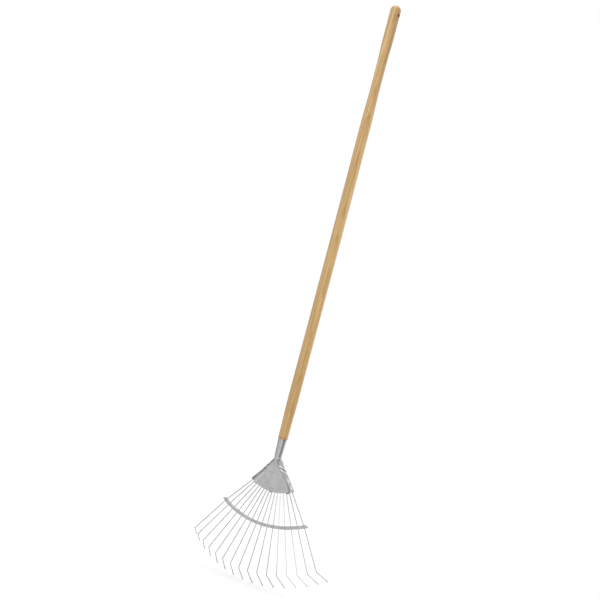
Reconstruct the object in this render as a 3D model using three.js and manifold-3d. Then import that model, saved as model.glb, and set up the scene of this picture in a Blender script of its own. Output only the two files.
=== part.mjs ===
// Long-handled lawn and leaf rake: an ash handle in a pressed sheet-metal head,
// sixteen spring-wire tines clamped behind the fan plate, and a channel brace across them.
// Millimetres. +Z runs up the handle, +X across the fan, and the front of the fan faces -Y.
// The origin is the centre of the hanging hole near the top of the handle.

import * as THREE from "three";
import { mergeVertices } from "three/addons/utils/BufferGeometryUtils.js";
import Module from "manifold-3d";

const wasm = await Module();
wasm.setup();

// Driving dimensions. Heights are measured from the joint where the wood meets the socket.

const HOLE_ABOVE_JOINT = 1226;
const HOLE_RADIUS = 4.5;

const HANDLE_LENGTH = 1253;
const HANDLE_RADIUS = 14.9;
const FOOT_RADIUS = 13.35;
const FOOT_LENGTH = 118;
const FOOT_SHOULDER = 1.2;
const GRIP_WAIST_RADIUS = 13.15;
const GRIP_WAIST_START = 1018;
const GRIP_WAIST_END = 1078;
const GRIP_TAPER_START = 912;
const KNOB_RADIUS = 14.75;
const KNOB_START = 1162;
const KNOB_END = 1222;
const DOME_HEIGHT = 13.5;
const TANG_LENGTH = 42;
const TANG_PLAY = 0.6;
const TANG_CHAMFER = 1;

const SHEET = 1.2;
const GAP = 0.3;
const SOCKET_TOP_RADIUS = 12.1;
const SOCKET_NECK_RADIUS = 10;
const SOCKET_LENGTH = 52;
const SCREW_DROP = 22;
const SCREW_BORE_CENTRE = 6;
const SCREW_BORE_LENGTH = 18;
const SCREW_SHANK_RADIUS = 1.9;
const SCREW_HEAD_RADIUS = 4;
const SCREW_HEAD_HEIGHT = 2.4;

const WIRE_RADIUS = 1.25;
const TINE_COUNT = 16;
const TINE_SPACING = 8.9;
const TINE_STEP_ANGLE = THREE.MathUtils.degToRad(5.23);
const FORWARD_LEAN = THREE.MathUtils.degToRad(11);
const TINE_GRIP = 24;
const TINE_LOCK = 4.4;
const TINE_PLAY = 0.75;
const HEEL_DROP = 3;
const OUTER_KINK = THREE.MathUtils.degToRad(4.4);
const BRACE_DROP = 243.5;
const BRACE_ARC_RADIUS = 302;
const BEND_DROP = 375;
const BEND_ARC_RADIUS = 403;
const HOOK_LENGTH = 59.6;
const HOOK_ANGLE = THREE.MathUtils.degToRad(61.6);
const HOOK_BEND_RADIUS = 5;
const LOCK_BEND_RADIUS = 2;
const EASY_BEND_RADIUS = 20;

// The brace's width, depth and corner are its channel's inner ones: the sheet lies outside them.
const BRACE_INNER_WIDTH = 7.4;
const BRACE_INNER_DEPTH = 5.4;
const BRACE_INNER_CORNER = 1.7;
const BRACE_SHEET = 0.9;
const BRACE_OVERHANG = 8.5;
const BRACE_END_SLANT = 0.8;
const BRACE_HOLE_RADIUS = 1.85;

const OUTERMOST = TINE_COUNT - 1;

// Fineness of the meshes
const TURNED_SIDES = 28;
const HANGING_HOLE_SIDES = 20;
const SCREW_SIDES = 16;
const SMALL_HOLE_SIDES = 8;
const EASED_STEPS = 4;
const DOME_STEPS = 6;
const SEARCH_ROUNDS = 40;

// Materials

function steel(color, roughness) {
  return new THREE.MeshStandardMaterial({ color, roughness, metalness: 1 });
}

const ashWood = () => new THREE.MeshStandardMaterial({ color: 0xc9a676, roughness: 0.5, metalness: 0 });
const sheetSteel = () => steel(0xb4b5b6, 0.32);
const wireSteel = () => steel(0xc6c7c8, 0.28);
const screwSteel = () => steel(0xa9aaab, 0.35);

// Solids: booleans on closed meshes

function toSolid(geometry) {
  const bare = geometry.clone();
  bare.deleteAttribute("normal");
  bare.deleteAttribute("uv");
  const merged = mergeVertices(bare, 1e-4);
  return new wasm.Manifold(new wasm.Mesh({
    numProp: 3,
    vertProperties: new Float32Array(merged.attributes.position.array),
    triVerts: new Uint32Array(merged.index.array),
  }));
}

function toGeometry(solid) {
  const mesh = solid.getMesh();
  const geometry = new THREE.BufferGeometry();
  geometry.setAttribute("position", new THREE.BufferAttribute(new Float32Array(mesh.vertProperties), 3));
  geometry.setIndex(new THREE.BufferAttribute(new Uint32Array(mesh.triVerts), 1));
  return geometry;
}

function joinAndCut(geometries, cutters) {
  let solid = toSolid(geometries[0]);
  for (const extra of geometries.slice(1)) solid = solid.add(toSolid(extra));
  for (const cutter of cutters) solid = solid.subtract(toSolid(cutter));
  return toGeometry(solid);
}

function cutAway(geometry, cutters) {
  return joinAndCut([geometry], cutters);
}

// A drill of the given radius and length, centred on a point and lying along a direction.
function drill(centre, direction, radius, length, sides) {
  const cylinder = new THREE.CylinderGeometry(radius, radius, length, sides);
  const unit = direction.clone().normalize();
  cylinder.applyQuaternion(new THREE.Quaternion().setFromUnitVectors(new THREE.Vector3(0, 1, 0), unit));
  cylinder.translate(centre.x, centre.y, centre.z);
  return cylinder;
}

// Sheet metal: a grid of points on the outer skin, thickened towards its inner side.

function gridNormal(rows, r, c) {
  const above = rows[Math.max(r - 1, 0)][c];
  const below = rows[Math.min(r + 1, rows.length - 1)][c];
  const left = rows[r][Math.max(c - 1, 0)];
  const right = rows[r][Math.min(c + 1, rows[r].length - 1)];
  const down = below.clone().sub(above);
  const across = right.clone().sub(left);
  return down.cross(across).normalize();
}

function thickSheet(rows, thickness) {
  const height = rows.length;
  const width = rows[0].length;
  const points = [];
  for (const row of rows) points.push(...row);
  for (let r = 0; r < height; r++) {
    for (let c = 0; c < width; c++) {
      points.push(rows[r][c].clone().addScaledVector(gridNormal(rows, r, c), -thickness));
    }
  }
  const outer = (r, c) => r * width + c;
  const inner = (r, c) => height * width + r * width + c;
  const index = [];
  const quad = (a, b, c, d) => index.push(a, c, b, a, d, c);
  for (let r = 0; r + 1 < height; r++) {
    for (let c = 0; c + 1 < width; c++) {
      quad(outer(r, c), outer(r, c + 1), outer(r + 1, c + 1), outer(r + 1, c));
      quad(inner(r, c), inner(r + 1, c), inner(r + 1, c + 1), inner(r, c + 1));
    }
    quad(outer(r, 0), outer(r + 1, 0), inner(r + 1, 0), inner(r, 0));
    quad(outer(r, width - 1), inner(r, width - 1), inner(r + 1, width - 1), outer(r + 1, width - 1));
  }
  for (let c = 0; c + 1 < width; c++) {
    quad(outer(0, c), inner(0, c), inner(0, c + 1), outer(0, c + 1));
    quad(outer(height - 1, c), outer(height - 1, c + 1), inner(height - 1, c + 1), inner(height - 1, c));
  }
  const geometry = new THREE.BufferGeometry().setFromPoints(points);
  geometry.setIndex(index);
  return geometry;
}

// Wire: a round section swept along a path whose corners are rounded.

class WirePath extends THREE.Curve {
  constructor(samples) {
    super();
    this.samples = samples;
  }

  getPoint(t) {
    const place = t * (this.samples.length - 1);
    const first = Math.min(Math.floor(place), this.samples.length - 2);
    return this.samples[first].clone().lerp(this.samples[first + 1], place - first);
  }

  getPointAt(t) {
    return this.getPoint(t);
  }

  getTangentAt(t) {
    const place = Math.round(t * (this.samples.length - 1));
    const before = this.samples[Math.max(place - 1, 0)];
    const after = this.samples[Math.min(place + 1, this.samples.length - 1)];
    const here = this.samples[place];
    const arriving = here.clone().sub(before).normalize();
    const leaving = after.clone().sub(here).normalize();
    return arriving.add(leaving).normalize();
  }
}

function roundedPath(corners) {
  const samples = [corners[0].point];
  for (let i = 1; i + 1 < corners.length; i++) {
    const { point, radius, steps } = corners[i];
    const back = corners[i - 1].point.clone().sub(point).normalize();
    const ahead = corners[i + 1].point.clone().sub(point).normalize();
    const turn = Math.PI - back.angleTo(ahead);
    const reach = radius * Math.tan(turn / 2);
    const start = point.clone().addScaledVector(back, reach);
    const end = point.clone().addScaledVector(ahead, reach);
    const arc = new THREE.QuadraticBezierCurve3(start, point, end);
    samples.push(...arc.getPoints(steps));
  }
  samples.push(corners[corners.length - 1].point);
  return new WirePath(samples);
}

function wire(corners) {
  const section = new THREE.Shape().absarc(0, 0, WIRE_RADIUS, 0, 2 * Math.PI);
  const path = roundedPath(corners);
  return new THREE.ExtrudeGeometry(section, {
    extrudePath: path,
    steps: path.samples.length - 1,
    curveSegments: 4,
  });
}

// Handle: a turned ash shaft with a waisted grip, a domed knob and a tapered tang in the socket.

function socketRadius(drop) {
  return THREE.MathUtils.lerp(SOCKET_TOP_RADIUS, SOCKET_NECK_RADIUS, drop / SOCKET_LENGTH);
}

function tangRadius(drop) {
  return socketRadius(drop) - SHEET - TANG_PLAY;
}

function easedProfile(fromRadius, toRadius, fromHeight, toHeight) {
  const points = [];
  for (let i = 1; i <= EASED_STEPS; i++) {
    const t = i / EASED_STEPS;
    const radius = THREE.MathUtils.lerp(fromRadius, toRadius, THREE.MathUtils.smoothstep(t, 0, 1));
    points.push(new THREE.Vector2(radius, THREE.MathUtils.lerp(fromHeight, toHeight, t)));
  }
  return points;
}

function handleGeometry() {
  const tangTip = tangRadius(TANG_LENGTH);
  const profile = [
    new THREE.Vector2(0, -TANG_LENGTH),
    new THREE.Vector2(tangTip - TANG_CHAMFER, -TANG_LENGTH),
    new THREE.Vector2(tangTip, -TANG_LENGTH + TANG_CHAMFER),
    new THREE.Vector2(tangRadius(0), GAP),
    new THREE.Vector2(FOOT_RADIUS - FOOT_SHOULDER, GAP),
    new THREE.Vector2(FOOT_RADIUS, GAP + FOOT_SHOULDER),
    ...easedProfile(FOOT_RADIUS, HANDLE_RADIUS, GAP + FOOT_SHOULDER, FOOT_LENGTH),
    new THREE.Vector2(HANDLE_RADIUS, GRIP_TAPER_START),
    ...easedProfile(HANDLE_RADIUS, GRIP_WAIST_RADIUS, GRIP_TAPER_START, GRIP_WAIST_START),
    new THREE.Vector2(GRIP_WAIST_RADIUS, GRIP_WAIST_END),
    ...easedProfile(GRIP_WAIST_RADIUS, KNOB_RADIUS, GRIP_WAIST_END, KNOB_START),
    new THREE.Vector2(KNOB_RADIUS, KNOB_END),
  ];
  const domeStart = HANDLE_LENGTH - DOME_HEIGHT;
  for (let i = 0; i <= DOME_STEPS; i++) {
    const angle = (i / DOME_STEPS) * Math.PI / 2;
    const radius = i === DOME_STEPS ? 0 : KNOB_RADIUS * Math.cos(angle);
    profile.push(new THREE.Vector2(radius, domeStart + DOME_HEIGHT * Math.sin(angle)));
  }
  const turned = new THREE.LatheGeometry(profile, TURNED_SIDES).rotateX(Math.PI / 2);
  const hangingHole = drill(
    new THREE.Vector3(0, 0, HOLE_ABOVE_JOINT), new THREE.Vector3(1, 0, 0),
    HOLE_RADIUS, 4 * HANDLE_RADIUS, HANGING_HOLE_SIDES);
  const screwHole = drill(
    new THREE.Vector3(0, SCREW_BORE_CENTRE, -SCREW_DROP), new THREE.Vector3(0, 1, 0),
    SCREW_SHANK_RADIUS + GAP, SCREW_BORE_LENGTH, SCREW_SIDES);
  return cutAway(turned, [hangingHole, screwHole]);
}

// Head pressing: one sheet rolled into the socket, opening below the neck into a fan plate with
// a flat front panel and a flank folded back along each side.

const v3 = (x, y, z) => new THREE.Vector3(x, y, z);

// Fan stations below the neck: the middle of the panel, the crease, and the flank's free edge,
// with how far the flank bulges between the crease and the edge as the tube unrolls into it.
const FAN_STATIONS = [
  { middle: v3(0, -8.6, -60.5), crease: v3(4.5, -8.2, -60), edge: v3(13.3, 6.3, -58), bulge: 1.5 },
  { middle: v3(0, -8.6, -72), crease: v3(11, -8.0, -71), edge: v3(21.3, 6.5, -69.5), bulge: 0.9 },
  { middle: v3(0, -5.6, -89), crease: v3(21, -4.8, -85.5), edge: v3(32.3, 8.6, -84.5), bulge: 0.4 },
  { middle: v3(0, 0.8, -108), crease: v3(35, 2.4, -101), edge: v3(45, 12.3, -100.5), bulge: 0 },
  { middle: v3(0, 6.3, -128), crease: v3(49, 7, -116.5), edge: v3(58.2, 14.2, -116), bulge: 0 },
  { middle: v3(0, 7.5, -151.5), crease: v3(62, 7.5, -136), edge: v3(71.4, 13.2, -132.5), bulge: 0 },
];

// Tube stations: the drop below the joint, and the half angle that the seam leaves open at the back.
const TUBE_STATIONS = [
  { drop: 0, seamDegrees: 3.4 },
  { drop: 14, seamDegrees: 3.5 },
  { drop: 28, seamDegrees: 3.7 },
  { drop: 41, seamDegrees: 5 },
  { drop: 51, seamDegrees: 34 },
];
const LAST_STATION = TUBE_STATIONS.length + FAN_STATIONS.length - 1;
const FIRST_FAN = TUBE_STATIONS.length;
const CREASE_ROUNDING = 0.09;
const CREASE_SHARE = 0.62;
const TUBE_CREASE_DEGREES = 30;
const PANEL_STEPS = 4;
const ROUNDING_STEPS = 3;
const FLANK_STEPS = 6;
const ROWS_PER_STATION = 3;
const TINE_DEPTH = SHEET + TINE_PLAY + WIRE_RADIUS;
const BACK_PLATE_DEPTH = TINE_DEPTH + WIRE_RADIUS + GAP;
const BACK_PLATE_TOP = LAST_STATION - 1.55;
const BACK_PLATE_BOTTOM = LAST_STATION - 0.06;
const BACK_PLATE_WIDTH_SHARE = 0.93;
const TAB_PLACE = 12;
const TAB_WIDTH = 5.2;
const TAB_DROP = 2.8;
const TAB_ROOT = 3;
const TAB_HOLD = 6;
const TAB_INSET = 0.15;
const TAB_STEPS = 6;

// One side of the tube's section, from the front (share 0) to the seam at the back (share 1).
// The crease starts in the tube's front, so the rest of the tube's wall unrolls into the flank.
function tubePoint(share, { drop, seamDegrees }) {
  const degrees = share < CREASE_SHARE
    ? THREE.MathUtils.mapLinear(share, 0, CREASE_SHARE, 0, TUBE_CREASE_DEGREES)
    : THREE.MathUtils.mapLinear(share, CREASE_SHARE, 1, TUBE_CREASE_DEGREES, 180 - seamDegrees);
  const angle = THREE.MathUtils.degToRad(degrees);
  const radius = socketRadius(drop);
  return v3(radius * Math.sin(angle), -radius * Math.cos(angle), -drop);
}

// One side of the fan's section: a panel bowed to the lower edge's arc, a rounded crease, a flank.
function fanPoint(share, { middle, crease, edge, bulge }) {
  const start = CREASE_SHARE - CREASE_ROUNDING;
  const end = CREASE_SHARE + CREASE_ROUNDING;
  const onPanel = (s) => {
    const across = s / CREASE_SHARE;
    const point = middle.clone().lerp(crease, across ** 2);
    point.x = crease.x * across;
    return point;
  };
  const outward = v3(edge.y - crease.y, crease.x - edge.x, 0).normalize();
  const onFlank = (s) => {
    const t = (s - CREASE_SHARE) / (1 - CREASE_SHARE);
    return crease.clone().lerp(edge, t).addScaledVector(outward, bulge * 4 * t * (1 - t));
  };
  if (share <= start) return onPanel(share);
  if (share >= end) return onFlank(share);
  const bend = new THREE.QuadraticBezierCurve3(onPanel(start), crease, onFlank(end));
  return bend.getPoint((share - start) / (end - start));
}

// A point of the outer skin: side runs from -1 to 1 across, station from 0 at the joint downwards.
function skinPoint(side, station) {
  const share = Math.abs(side);
  const column = [
    ...TUBE_STATIONS.map((tubeStation) => tubePoint(share, tubeStation)),
    ...FAN_STATIONS.map((fanStation) => fanPoint(share, fanStation)),
  ];
  const point = new THREE.CatmullRomCurve3(column, false, "centripetal").getPoint(station / LAST_STATION);
  if (side < 0) point.x = -point.x;
  return point;
}

// The outward direction of the skin, by small steps across and down.
function skinNormal(side, station) {
  const step = 0.01;
  const across = skinPoint(side + step, station).sub(skinPoint(side - step, station));
  const lower = Math.min(station + step, LAST_STATION);
  const down = skinPoint(side, lower).sub(skinPoint(side, lower - step));
  return down.cross(across).normalize();
}

// The place behind the skin at the given distance, for the pieces nested behind it.
function behindSkin(side, station, distance) {
  return skinPoint(side, station).addScaledVector(skinNormal(side, station), -distance);
}

// The side and station whose skin lies at a given x and z.
function skinPlace(x, z) {
  let side = x / 90;
  let station = LAST_STATION - 1;
  const step = 1e-3;
  for (let round = 0; round < SEARCH_ROUNDS; round++) {
    const here = skinPoint(side, station);
    const acrossStep = skinPoint(side + step, station).sub(here).divideScalar(step);
    const downStep = skinPoint(side, station - step).sub(here).divideScalar(-step);
    const wantX = x - here.x;
    const wantZ = z - here.z;
    const area = acrossStep.x * downStep.z - downStep.x * acrossStep.z;
    side += (wantX * downStep.z - downStep.x * wantZ) / area;
    station += (acrossStep.x * wantZ - wantX * acrossStep.z) / area;
    side = THREE.MathUtils.clamp(side, -1, 1);
    station = THREE.MathUtils.clamp(station, FIRST_FAN, LAST_STATION);
  }
  return { side, station };
}

// The shares of a row's points, closer together round the crease.
function rowShares() {
  const start = CREASE_SHARE - CREASE_ROUNDING;
  const end = CREASE_SHARE + CREASE_ROUNDING;
  const half = [];
  for (let i = 0; i < PANEL_STEPS; i++) half.push((i / PANEL_STEPS) * start);
  for (let i = 0; i < ROUNDING_STEPS; i++) half.push(start + (i / ROUNDING_STEPS) * (end - start));
  for (let i = 0; i <= FLANK_STEPS; i++) half.push(end + (i / FLANK_STEPS) * (1 - end));
  const left = half.slice(1).reverse().map((share) => -share);
  return [...left, ...half];
}

// The side whose skin at the fan's lower edge lies at a given x.
function sideAtEdge(x) {
  let low = 0;
  let high = 1;
  for (let round = 0; round < SEARCH_ROUNDS; round++) {
    const middle = (low + high) / 2;
    if (skinPoint(middle, LAST_STATION).x < Math.abs(x)) low = middle;
    else high = middle;
  }
  return Math.sign(x) * low;
}

// A tab on the fan plate's lower edge, folded back round the lower edge of the back plate.
function foldedTab(x) {
  const side = sideAtEdge(x);
  const root = skinPoint(side, LAST_STATION);
  const front = skinNormal(side, LAST_STATION);
  const step = 0.01;
  const aside = skinPoint(side + step, LAST_STATION);
  const across = aside.sub(skinPoint(side - step, LAST_STATION)).normalize();
  const down = across.clone().cross(front).normalize();
  const backDepth = BACK_PLATE_DEPTH + SHEET + 2 * GAP + SHEET;
  const middleDepth = (TAB_INSET + backDepth) / 2;
  const path = [{ drop: -TAB_ROOT, depth: TAB_INSET }];
  for (let i = 0; i <= TAB_STEPS; i++) {
    const angle = (i / TAB_STEPS) * Math.PI;
    const depth = middleDepth - (middleDepth - TAB_INSET) * Math.cos(angle);
    path.push({ drop: TAB_DROP * Math.sin(angle), depth });
  }
  path.push({ drop: -TAB_HOLD, depth: backDepth });
  const rows = path.map(({ drop, depth }) => [-1, 1].map((edge) => root.clone()
    .addScaledVector(across, edge * TAB_WIDTH / 2)
    .addScaledVector(down, drop)
    .addScaledVector(front, -depth)));
  return thickSheet(rows, SHEET);
}

function headPressingGeometry() {
  const rows = [];
  const rowCount = LAST_STATION * ROWS_PER_STATION;
  for (let r = 0; r <= rowCount; r++) {
    const station = r / ROWS_PER_STATION;
    rows.push(rowShares().map((side) => skinPoint(side, station)));
  }
  const screwPlace = v3(0, SOCKET_TOP_RADIUS, -SCREW_DROP);
  const screwHole = drill(screwPlace, v3(0, 1, 0), SCREW_SHANK_RADIUS + GAP, 6 * SHEET, SCREW_SIDES);
  const tabs = [-TAB_PLACE, 0, TAB_PLACE].map((place) => foldedTab(place * TINE_SPACING / 2));
  return joinAndCut([thickSheet(rows, SHEET), ...tabs], [screwHole]);
}

// Tines: each is clamped behind the fan plate, leans forward below it, passes through the brace
// and ends in a hook bent back. Places are odd numbers from -15 to 15, counted from the middle.

function exitPoint(place) {
  return behindSkin(sideAtEdge(TINE_SPACING / 2 * place), LAST_STATION, TINE_DEPTH);
}

// Downward direction of a tine, spread by an angle and leaning to the front by another.
function tineDirection(spread, lean) {
  return v3(Math.sin(spread), -Math.tan(lean), -Math.cos(spread)).normalize();
}

function spreadAngle(place) {
  return place * TINE_STEP_ANGLE / 2;
}

function leanAngle(place) {
  return FORWARD_LEAN * Math.cos(2 * spreadAngle(place));
}

// The tine's last few degrees are straightened below the brace on the outermost ones.
function lowerSpread(place) {
  const outward = Math.abs(place) / OUTERMOST;
  return spreadAngle(place) - Math.sign(place) * OUTER_KINK * outward ** 6;
}

// Where a ray meets an arc that sags to the given drop below the joint at the middle of the fan.
function meetArc(from, direction, drop, arcRadius) {
  const centreZ = arcRadius - drop;
  const fromZ = from.z - centreZ;
  const square = direction.x ** 2 + direction.z ** 2;
  const half = from.x * direction.x + fromZ * direction.z;
  const rest = from.x ** 2 + fromZ ** 2 - arcRadius ** 2;
  const travel = (-half + Math.sqrt(half ** 2 - square * rest)) / square;
  return from.clone().addScaledVector(direction, travel);
}

// Just below the plate's edge, where the tine starts to lean forward.
function heelPoint(place) {
  return exitPoint(place).addScaledVector(tineDirection(spreadAngle(place), 0), HEEL_DROP);
}

function bracePoint(place) {
  const direction = tineDirection(spreadAngle(place), leanAngle(place));
  return meetArc(heelPoint(place), direction, BRACE_DROP, BRACE_ARC_RADIUS);
}

// The place on the skin in front of a tine's inner end.
function gripTop(place) {
  const exit = exitPoint(place);
  const spread = spreadAngle(place);
  return skinPlace(exit.x - TINE_GRIP * Math.sin(spread), exit.z + TINE_GRIP * Math.cos(spread));
}

function tineGeometry(place) {
  const top = gripTop(place);
  const inner = behindSkin(top.side, top.station, TINE_DEPTH);
  const lock = behindSkin(top.side, top.station, TINE_DEPTH + TINE_LOCK);
  const brace = bracePoint(place);
  const lower = tineDirection(lowerSpread(place), leanAngle(place));
  const bend = meetArc(brace, lower, BEND_DROP, BEND_ARC_RADIUS);
  const back = v3(0, 1, 0);
  back.addScaledVector(lower, -back.dot(lower)).normalize();
  const tip = bend.clone()
    .addScaledVector(lower, HOOK_LENGTH * Math.cos(HOOK_ANGLE))
    .addScaledVector(back, HOOK_LENGTH * Math.sin(HOOK_ANGLE));
  return wire([
    { point: lock },
    { point: inner, radius: LOCK_BEND_RADIUS, steps: 3 },
    { point: heelPoint(place), radius: EASY_BEND_RADIUS, steps: 2 },
    { point: brace, radius: EASY_BEND_RADIUS, steps: 2 },
    { point: bend, radius: HOOK_BEND_RADIUS, steps: 4 },
    { point: tip },
  ]);
}

// Back clamp plate: nested behind the tines inside the fan, pierced for their bent ends.

function backPlateGeometry() {
  const depth = BACK_PLATE_DEPTH;
  const rowCount = 5;
  const rows = [];
  for (let r = 0; r <= rowCount; r++) {
    const station = THREE.MathUtils.lerp(BACK_PLATE_TOP, BACK_PLATE_BOTTOM, r / rowCount);
    rows.push(rowShares().map((side) => behindSkin(side * BACK_PLATE_WIDTH_SHARE, station, depth)));
  }
  const holes = places().map((place) => {
    const top = gripTop(place);
    const centre = behindSkin(top.side, top.station, depth);
    const front = skinNormal(top.side, top.station);
    return drill(centre, front, WIRE_RADIUS + 2 * GAP, 6 * SHEET, SMALL_HOLE_SIDES);
  });
  return cutAway(thickSheet(rows, SHEET), holes);
}

// Brace: a channel bent to the fan's curve, its web in front and its two flanges pierced by the tines.

function braceFrame(points, i) {
  const before = points[Math.max(i - 1, 0)];
  const after = points[Math.min(i + 1, points.length - 1)];
  const along = after.point.clone().sub(before.point).normalize();
  const front = points[i].down.clone().cross(along).normalize();
  const down = along.clone().cross(front).normalize();
  return { point: points[i].point, along, front, down };
}

function braceLine() {
  const points = [];
  for (let place = -OUTERMOST; place <= OUTERMOST; place += 1) {
    points.push({ point: bracePoint(place), down: tineDirection(spreadAngle(place), leanAngle(place)) });
  }
  const extend = (end, next) => {
    const outward = end.point.clone().sub(next.point).normalize();
    return { point: end.point.clone().addScaledVector(outward, BRACE_OVERHANG), down: end.down };
  };
  const first = extend(points[0], points[1]);
  const last = extend(points[points.length - 1], points[points.length - 2]);
  return [first, ...points, last];
}

function channelSection() {
  const halfWidth = BRACE_INNER_WIDTH / 2;
  const front = BRACE_INNER_DEPTH / 2;
  const section = [new THREE.Vector2(-halfWidth, -front)];
  const corner = (centreDown, startAngle) => {
    for (let i = 0; i <= 2; i++) {
      const angle = startAngle - (i / 2) * Math.PI / 2;
      const down = centreDown + BRACE_INNER_CORNER * Math.cos(angle);
      const forward = front - BRACE_INNER_CORNER + BRACE_INNER_CORNER * Math.sin(angle);
      section.push(new THREE.Vector2(down, forward));
    }
  };
  corner(-halfWidth + BRACE_INNER_CORNER, Math.PI);
  corner(halfWidth - BRACE_INNER_CORNER, Math.PI / 2);
  section.push(new THREE.Vector2(halfWidth, -front));
  return section;
}

function braceGeometry() {
  const line = braceLine();
  const rows = line.map((unused, i) => {
    const { point, along, front, down } = braceFrame(line, i);
    const slant = i === 0 ? -BRACE_END_SLANT : i === line.length - 1 ? BRACE_END_SLANT : 0;
    return channelSection().map((p) => point.clone()
      .addScaledVector(down, p.x)
      .addScaledVector(front, p.y)
      .addScaledVector(along, slant * p.x));
  });
  const holes = places().map((place) => {
    const middle = (spreadAngle(place) + lowerSpread(place)) / 2;
    const direction = tineDirection(middle, leanAngle(place));
    return drill(bracePoint(place), direction, BRACE_HOLE_RADIUS, 2 * BRACE_INNER_WIDTH, SMALL_HOLE_SIDES);
  });
  return cutAway(thickSheet(rows, BRACE_SHEET), holes);
}

// Screw at the back of the socket, through the seam and into the tang.

function screwGeometry() {
  const headBase = socketRadius(SCREW_DROP) + 1.5 * GAP;
  const profile = [
    new THREE.Vector2(0, -1),
    new THREE.Vector2(SCREW_SHANK_RADIUS, 1),
    new THREE.Vector2(SCREW_SHANK_RADIUS, headBase),
    new THREE.Vector2(SCREW_HEAD_RADIUS, headBase),
    new THREE.Vector2(SCREW_HEAD_RADIUS * 0.86, headBase + SCREW_HEAD_HEIGHT * 0.65),
    new THREE.Vector2(SCREW_HEAD_RADIUS * 0.5, headBase + SCREW_HEAD_HEIGHT),
    new THREE.Vector2(0, headBase + SCREW_HEAD_HEIGHT),
  ];
  return new THREE.LatheGeometry(profile, SCREW_SIDES).translate(0, 0, -SCREW_DROP);
}

// Assembly

function places() {
  const list = [];
  for (let place = -OUTERMOST; place <= OUTERMOST; place += 2) list.push(place);
  return list;
}

const rake = new THREE.Group();

function addPiece(name, geometry, material) {
  geometry.translate(0, 0, -HOLE_ABOVE_JOINT);
  const mesh = new THREE.Mesh(geometry, material);
  mesh.name = name;
  rake.add(mesh);
}

addPiece("handle", handleGeometry(), ashWood());
addPiece("head_pressing", headPressingGeometry(), sheetSteel());
addPiece("back_clamp_plate", backPlateGeometry(), sheetSteel());
addPiece("brace_channel", braceGeometry(), sheetSteel());
addPiece("socket_screw", screwGeometry(), screwSteel());
places().forEach((place, i) => {
  const number = String(i + 1).padStart(2, "0");
  addPiece(`tine_${number}`, tineGeometry(place), wireSteel());
});

export default rake;
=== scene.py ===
import math
from functools import lru_cache

import bmesh
import bpy
from mathutils import Matrix, Vector


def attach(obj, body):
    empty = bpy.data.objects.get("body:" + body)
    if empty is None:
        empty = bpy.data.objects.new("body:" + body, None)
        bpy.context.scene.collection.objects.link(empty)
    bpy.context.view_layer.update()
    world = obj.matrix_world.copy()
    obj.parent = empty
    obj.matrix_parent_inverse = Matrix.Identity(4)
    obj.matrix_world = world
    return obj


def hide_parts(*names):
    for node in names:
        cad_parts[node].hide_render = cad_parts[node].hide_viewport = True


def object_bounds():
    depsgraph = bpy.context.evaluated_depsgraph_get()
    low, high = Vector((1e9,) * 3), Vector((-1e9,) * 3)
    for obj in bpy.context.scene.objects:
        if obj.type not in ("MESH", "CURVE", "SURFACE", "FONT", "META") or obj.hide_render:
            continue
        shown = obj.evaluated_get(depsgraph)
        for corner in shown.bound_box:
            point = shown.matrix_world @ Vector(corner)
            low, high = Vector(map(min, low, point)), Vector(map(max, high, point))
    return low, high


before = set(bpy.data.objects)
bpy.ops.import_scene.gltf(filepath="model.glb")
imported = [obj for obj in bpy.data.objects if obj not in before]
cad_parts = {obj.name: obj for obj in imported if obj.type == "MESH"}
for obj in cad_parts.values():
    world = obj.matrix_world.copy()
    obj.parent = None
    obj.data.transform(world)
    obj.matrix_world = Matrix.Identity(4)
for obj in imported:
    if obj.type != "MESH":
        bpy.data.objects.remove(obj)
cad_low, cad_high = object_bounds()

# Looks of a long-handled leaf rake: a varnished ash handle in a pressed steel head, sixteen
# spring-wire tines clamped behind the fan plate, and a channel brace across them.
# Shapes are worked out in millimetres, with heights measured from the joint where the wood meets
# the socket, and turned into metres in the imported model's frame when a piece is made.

# -------------------------------- driving dimensions

HOLE_ABOVE_JOINT = 1226
HOLE_RADIUS = 4.5
HOLE_FLARE = 0.9
HOLE_MOUTH_INSET = 1.6

HANDLE_LENGTH = 1253
HANDLE_RADIUS = 14.9
FOOT_RADIUS = 13.35
FOOT_LENGTH = 118
FOOT_SHOULDER = 1.2
GRIP_WAIST_RADIUS = 13.15
GRIP_WAIST_START = 1018
GRIP_WAIST_END = 1078
GRIP_TAPER_START = 912
KNOB_RADIUS = 14.75
KNOB_START = 1162
KNOB_END = 1222
DOME_HEIGHT = 13.5
TANG_LENGTH = 42
TANG_PLAY = 0.6
TANG_CHAMFER = 1
HANDLE_BOW = 1.1

SHEET = 1.2
GAP = 0.3
SOCKET_TOP_RADIUS = 12.1
SOCKET_NECK_RADIUS = 10.0
SOCKET_LENGTH = 52
SCREW_DROP = 22
SCREW_SHANK_RADIUS = 1.9
SCREW_POINT = 1
SCREW_HEAD_RADIUS = 4
SCREW_HEAD_HEIGHT = 2.4
SCREW_HEAD_SIDE = 0.5
SCREW_HEAD_DRAFT = 0.1
SCREW_HEAD_ROUNDING = 1.9
SCREW_STANDOFF = 1.5 * GAP
SCREW_BORE_CENTRE = 6
SCREW_BORE_LENGTH = 18
SHEET_DRILL_LENGTH = 8
# The cross recess's bars: depth, half length and half width, above the screw's head and at their bottom
RECESS_ENDS = ((-1.0, 2.4, 0.5), (1.5, 1.1, 0.32))
RECESS_TURN = 0.5

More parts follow.
